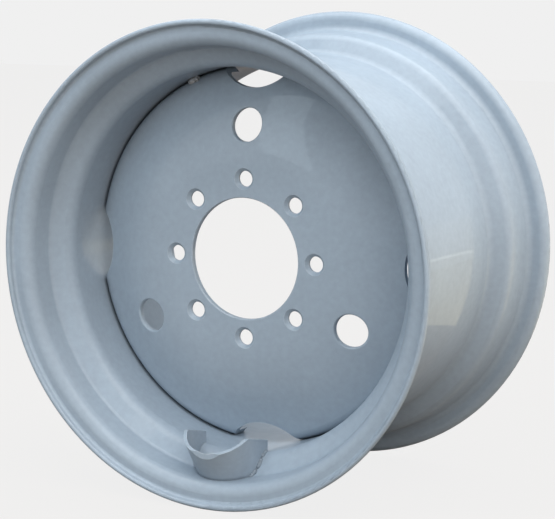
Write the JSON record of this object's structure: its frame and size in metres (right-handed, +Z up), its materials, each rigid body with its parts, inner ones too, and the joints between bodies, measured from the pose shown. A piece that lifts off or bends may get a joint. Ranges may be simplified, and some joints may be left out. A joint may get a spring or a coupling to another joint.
{
  "type": "steel disc wheel",
  "caption": "Bare welded steel disc wheel with a drop-centre rim, a dished disc with stud and hand holes, and a guard round the valve hole.",
  "frame": {"origin": "wheel centre: on the spin axis, midway between the two flange edges", "axes": "+Y along the spin axis towards the vehicle, so the nut side faces -Y; +Z up, with the valve hole at the bottom"},
  "size_m": [0.4572, 0.276, 0.4572],
  "materials": {
    "wheel_paint": "gloss",
    "bare_weld": "satin"
  },
  "bodies": {
    "root": {"rim": "wheel_paint", "disc": "wheel_paint", "valve_guard": "wheel_paint", "disc_weld_1": "wheel_paint", "disc_weld_2": "wheel_paint", "disc_weld_3": "wheel_paint", "disc_weld_4": "wheel_paint", "guard_weld_left_1": "wheel_paint", "guard_weld_left_2": "wheel_paint", "guard_weld_left_3": "wheel_paint", "guard_weld_right_1": "wheel_paint", "guard_weld_right_2": "wheel_paint", "guard_weld_right_3": "wheel_paint", "front_tack_weld": "bare_weld"}
  },
  "joints": []
}
